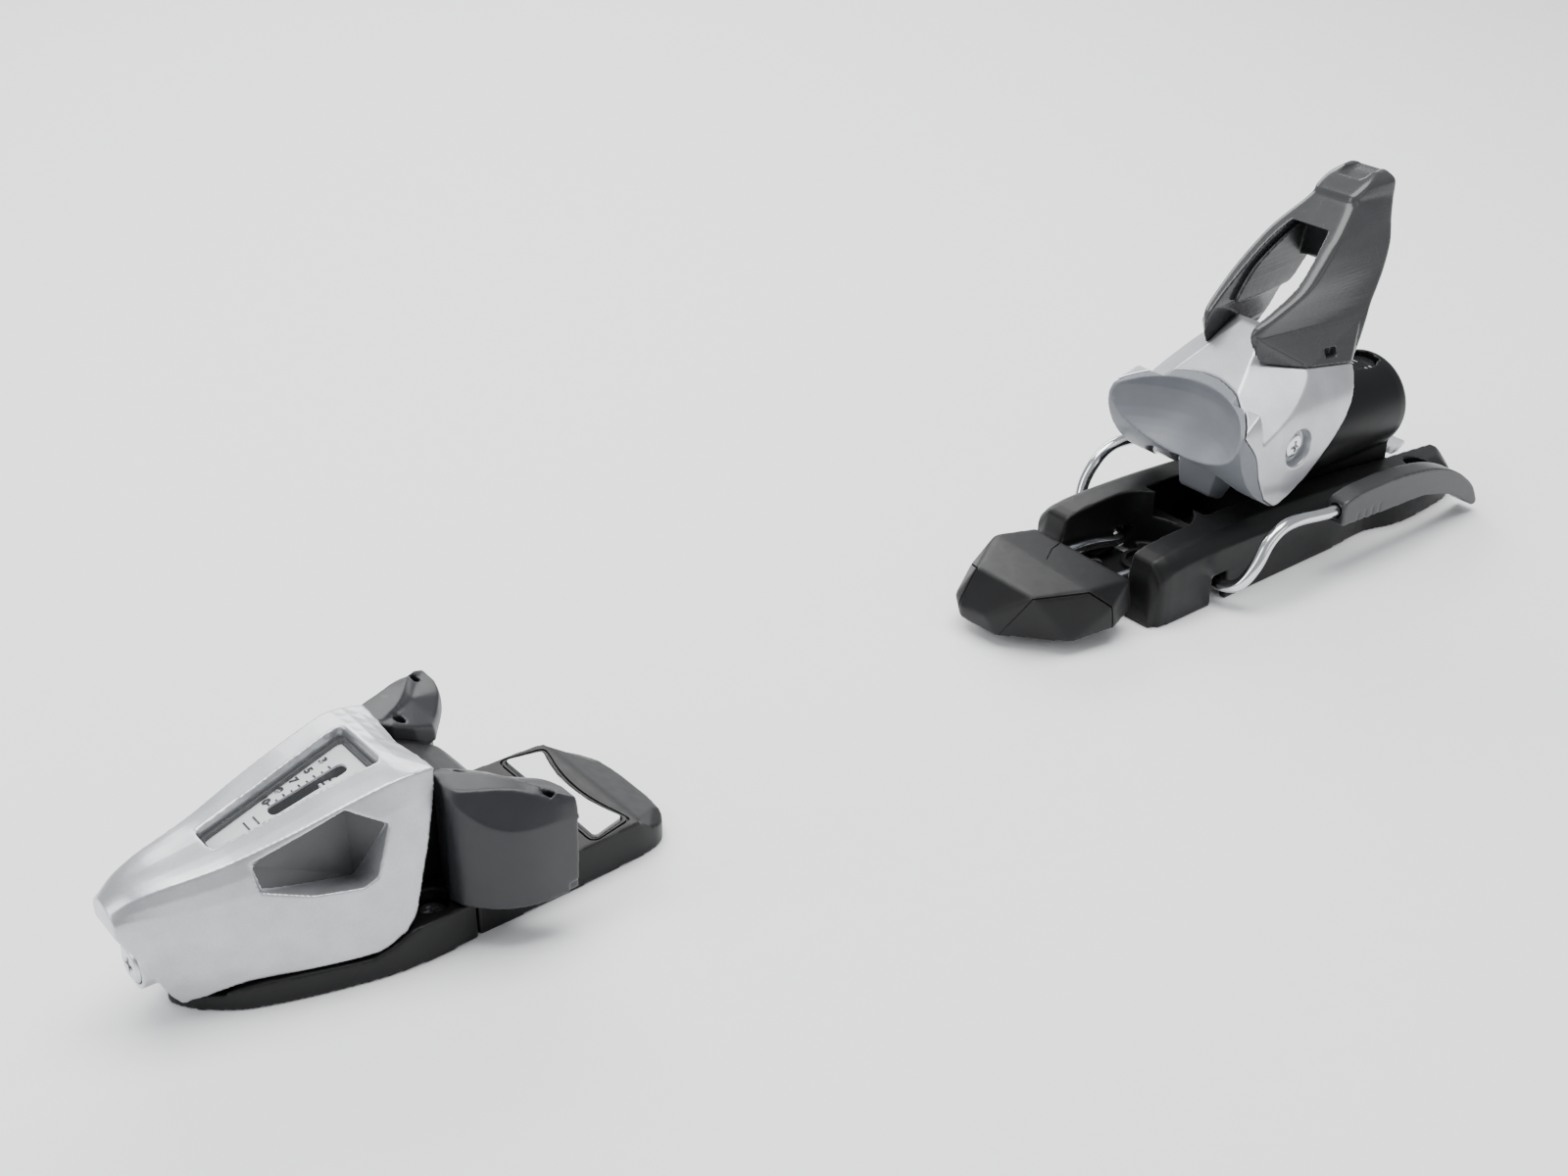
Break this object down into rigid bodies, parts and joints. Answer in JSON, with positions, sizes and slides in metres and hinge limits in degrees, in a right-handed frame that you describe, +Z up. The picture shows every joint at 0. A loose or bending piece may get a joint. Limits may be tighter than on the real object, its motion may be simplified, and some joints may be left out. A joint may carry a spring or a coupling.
{
  "type": "step-in ski binding",
  "caption": "Step-in ski binding: spring-loaded toe unit with swinging wings, and a sliding heel unit with step-out lever and ski brake.",
  "frame": {"origin": "on the ski's top face, midway along the binding and on its middle line", "axes": "+X towards the ski's tail, +Y to the skier's right as they face the tip, +Z up"},
  "size_m": [0.5352, 0.0904, 0.1326],
  "materials": {
    "silver_shell": "satin metallic lacquer",
    "jaw_grey": "fine matt",
    "black_shell": "satin moulded",
    "wing_grey": "satin moulded",
    "lever_smoke": "smoky, slightly clear",
    "foot_grey": "satin moulded",
    "low_friction_white": "smooth",
    "scale_white": "printed",
    "clear_lens": "clear, polished",
    "bright_steel": "bright drawn",
    "zinc_steel": "zinc plated"
  },
  "bodies": {
    "root": {"toe_base": "black_shell", "toe_housing": "silver_shell", "toe_window": "clear_lens", "toe_scale": "scale_white", "toe_block": "black_shell", "wing_pin_left": "bright_steel", "wing_pin_right": "bright_steel", "toe_spring": "bright_steel", "afd_plate": "black_shell", "afd_pad": "low_friction_white", "toe_mounting_screw_1": "zinc_steel", "toe_mounting_screw_2": "zinc_steel", "toe_mounting_screw_3": "zinc_steel", "toe_mounting_screw_4": "zinc_steel", "toe_mounting_screw_5": "zinc_steel", "heel_base": "black_shell", "heel_rail": "zinc_steel", "heel_mounting_screw_1": "zinc_steel", "heel_mounting_screw_2": "zinc_steel", "heel_mounting_screw_3": "zinc_steel", "heel_mounting_screw_4": "zinc_steel"},
    "wing_left": {"wing_left": "wing_grey"},
    "wing_right": {"wing_right": "wing_grey"},
    "toe_yoke": {"toe_yoke": "zinc_steel"},
    "toe_screw": {"toe_adjust_screw": "zinc_steel"},
    "toe_pointer": {"toe_indicator": "scale_white"},
    "carriage": {"heel_housing": "black_shell", "heel_window": "clear_lens", "heel_spring": "bright_steel", "heel_axle": "bright_steel", "latch_pin": "bright_steel"},
    "cup": {"heel_cup": "silver_shell", "heel_jaw": "jaw_grey", "heel_lever": "lever_smoke", "lever_core": "foot_grey", "heel_cam": "zinc_steel", "axle_screw_left": "bright_steel", "axle_screw_right": "bright_steel"},
    "piston": {"heel_piston": "zinc_steel"},
    "heel_screw": {"heel_adjust_screw": "zinc_steel"},
    "spring_seat": {"heel_seat": "foot_grey"},
    "latch": {"length_latch": "zinc_steel"},
    "brake": {"brake_pedal": "black_shell", "brake_wire_left": "bright_steel", "brake_wire_right": "bright_steel", "brake_foot_left": "foot_grey", "brake_foot_right": "foot_grey", "brake_spring_left": "bright_steel", "brake_spring_right": "bright_steel"}
  },
  "joints": [
    {"name": "wing_left_swing", "type": "hinge", "parent": "root", "child": "wing_left", "pos_m": [-0.175, 0.0205, 0.025], "axis": [0, 0, 1], "range_deg": [0, 30], "stiffness_Nm_per_rad": 0.5},
    {"name": "wing_right_swing", "type": "hinge", "parent": "root", "child": "wing_right", "pos_m": [-0.175, -0.0205, 0.025], "axis": [0, 0, -1], "range_deg": [0, 30], "stiffness_Nm_per_rad": 0.5},
    {"name": "yoke_pull", "type": "slide", "parent": "root", "child": "toe_yoke", "axis": [1, 0, 0], "range_m": [0, 0.00325], "deforming": ["toe_spring"]},
    {"name": "toe_screw_turn", "type": "hinge", "parent": "root", "child": "toe_screw", "pos_m": [-0.264, 0, 0.017], "axis": [1, 0, 0], "range_deg": [0, 2520]},
    {"name": "toe_pointer_travel", "type": "slide", "parent": "root", "child": "toe_pointer", "axis": [-1, 0, 0], "range_m": [0, 0.0141], "deforming": ["toe_spring"]},
    {"name": "heel_length_slide", "type": "slide", "parent": "root", "child": "carriage", "axis": [1, 0, 0], "range_m": [-0.01, 0.01]},
    {"name": "heel_cup_open", "type": "hinge", "parent": "carriage", "child": "cup", "pos_m": [0.1585, 0, 0.05], "axis": [0, 1, 0], "range_deg": [0, 30]},
    {"name": "piston_push", "type": "slide", "parent": "carriage", "child": "piston", "axis": [1, 0, 0], "range_m": [0, 0.0045], "deforming": ["heel_spring"]},
    {"name": "heel_screw_turn", "type": "hinge", "parent": "carriage", "child": "heel_screw", "pos_m": [0.239, 0, 0.0365], "axis": [-1, 0, 0], "range_deg": [0, 1080]},
    {"name": "heel_seat_travel", "type": "slide", "parent": "carriage", "child": "spring_seat", "axis": [-1, 0, 0], "range_m": [0, 0.0061], "deforming": ["heel_spring"]},
    {"name": "latch_lift", "type": "hinge", "parent": "carriage", "child": "latch", "pos_m": [0.234, 0, 0.013], "axis": [0, 1, 0], "range_deg": [0, 5], "stiffness_Nm_per_rad": 0.05, "springref_deg": -11.46},
    {"name": "brake_swing", "type": "hinge", "parent": "root", "child": "brake", "pos_m": [0.1235, 0, 0.0075], "axis": [0, 1, 0], "range_deg": [0, 55]}
  ],
  "couplings": [
    {"joint": "wing_left_swing", "follows": "yoke_pull", "rad_per_m": 161.2},
    {"joint": "toe_pointer_travel", "follows": "toe_screw_turn", "m_per_rad": 0.00031831},
    {"joint": "piston_push", "follows": "heel_cup_open", "m_per_rad": 0.0084},
    {"joint": "heel_seat_travel", "follows": "heel_screw_turn", "m_per_rad": 0.00031831}
  ]
}
